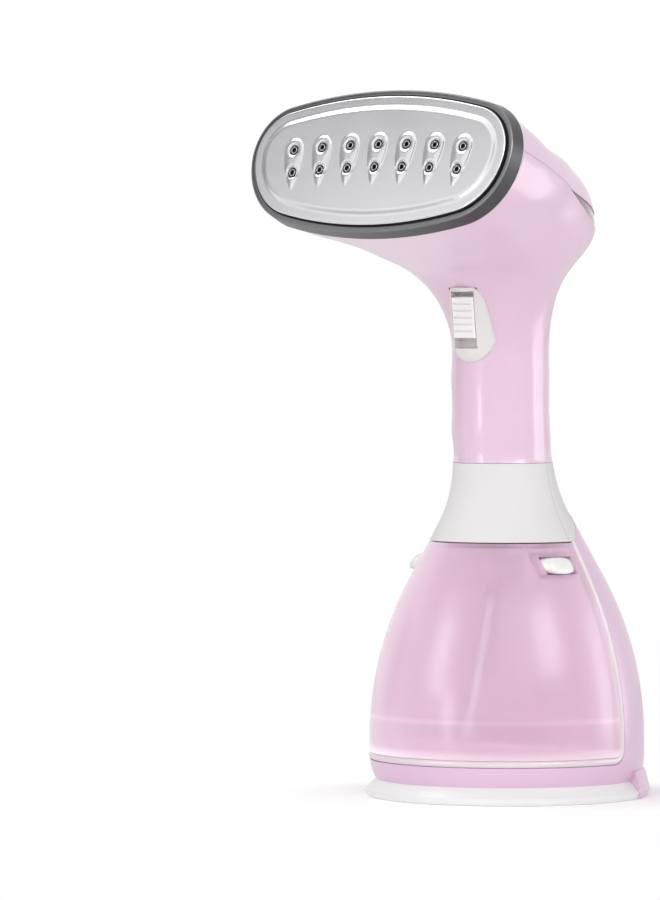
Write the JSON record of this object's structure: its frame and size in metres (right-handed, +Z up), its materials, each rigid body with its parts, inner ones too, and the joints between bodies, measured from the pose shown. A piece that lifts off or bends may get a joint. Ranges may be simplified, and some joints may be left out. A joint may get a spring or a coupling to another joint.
{
  "type": "handheld garment steamer",
  "caption": "Upright handheld garment steamer with an oval steam plate, round handle, thumb slider and a bell-shaped base that holds a detachable clear water tank.",
  "frame": {"origin": "centre of the foot ring's underside, on the surface the steamer stands on", "axes": "+Z up along the base's axis; -Y towards the front, where the steam plate faces and the tank sits; +X to the right of someone who faces the steam plate and looks along +Y"},
  "size_m": [0.133, 0.1552, 0.2879],
  "materials": {
    "pink_plastic": "gloss",
    "pale_pink_plastic": "gloss",
    "white_plastic": "satin",
    "bezel_grey": "satin",
    "steam_steel": "satin",
    "black_rubber": "matte",
    "clear_pink": "gloss",
    "smoked_pink": "gloss",
    "valve_pink": "satin",
    "cast_aluminium": "rough",
    "screw_steel": "satin",
    "inner_plastic": "matte",
    "switch_black": "matte",
    "iron": "matte",
    "coil_tape": "matte",
    "silicone": "matte",
    "wire_sleeve": "matte"
  },
  "bodies": {
    "body": {"foot_ring": "white_plastic", "base_plate": "white_plastic", "base_screws": "screw_steel", "rear_housing": "pink_plastic", "chassis": "white_plastic", "tank_bead": "white_plastic", "collar": "white_plastic", "body_shell": "pink_plastic", "top_cover": "pale_pink_plastic", "light_window": "smoked_pink", "switch_bezel": "white_plastic", "micro_switch": "switch_black", "steam_plate": "steam_steel", "nozzle_eyelets": "steam_steel", "head_bezel": "bezel_grey", "plate_gasket": "black_rubber", "heater_block": "cast_aluminium", "heater_lid": "cast_aluminium", "heating_element": "screw_steel", "heater_screws": "screw_steel", "thermostat": "screw_steel", "thermal_fuse": "inner_plastic", "head_insulator": "inner_plastic", "pump_body": "inner_plastic", "pump_yoke": "iron", "pump_coil": "coil_tape", "pump_mount": "black_rubber", "valve_socket": "silicone", "water_hose_low": "silicone", "water_hose_high": "silicone", "wire_bundle": "wire_sleeve", "cord_inlet": "black_rubber"},
    "tank": {"water_tank": "clear_pink", "tank_valve": "valve_pink", "intake_tube": "silicone", "intake_filter": "valve_pink", "filler_plug": "silicone"},
    "button_left": {"latch_button_left": "white_plastic"},
    "button_right": {"latch_button_right": "white_plastic"},
    "slider": {"steam_slider": "white_plastic"}
  },
  "joints": [
    {"name": "tank_slide", "type": "slide", "parent": "body", "child": "tank", "axis": [0, -1, 0], "range_m": [0, 0.1]},
    {"name": "release_left", "type": "slide", "parent": "tank", "child": "button_left", "axis": [1, 0, 0], "range_m": [0, 0.0025], "stiffness_N_per_m": 600, "springref_m": -0.002},
    {"name": "release_right", "type": "slide", "parent": "tank", "child": "button_right", "axis": [-1, 0, 0], "range_m": [0, 0.0025], "stiffness_N_per_m": 600, "springref_m": -0.002},
    {"name": "steam_slide", "type": "slide", "parent": "body", "child": "slider", "axis": [0, -0.1115, 0.9938], "range_m": [-0.004, 0.002]}
  ]
}
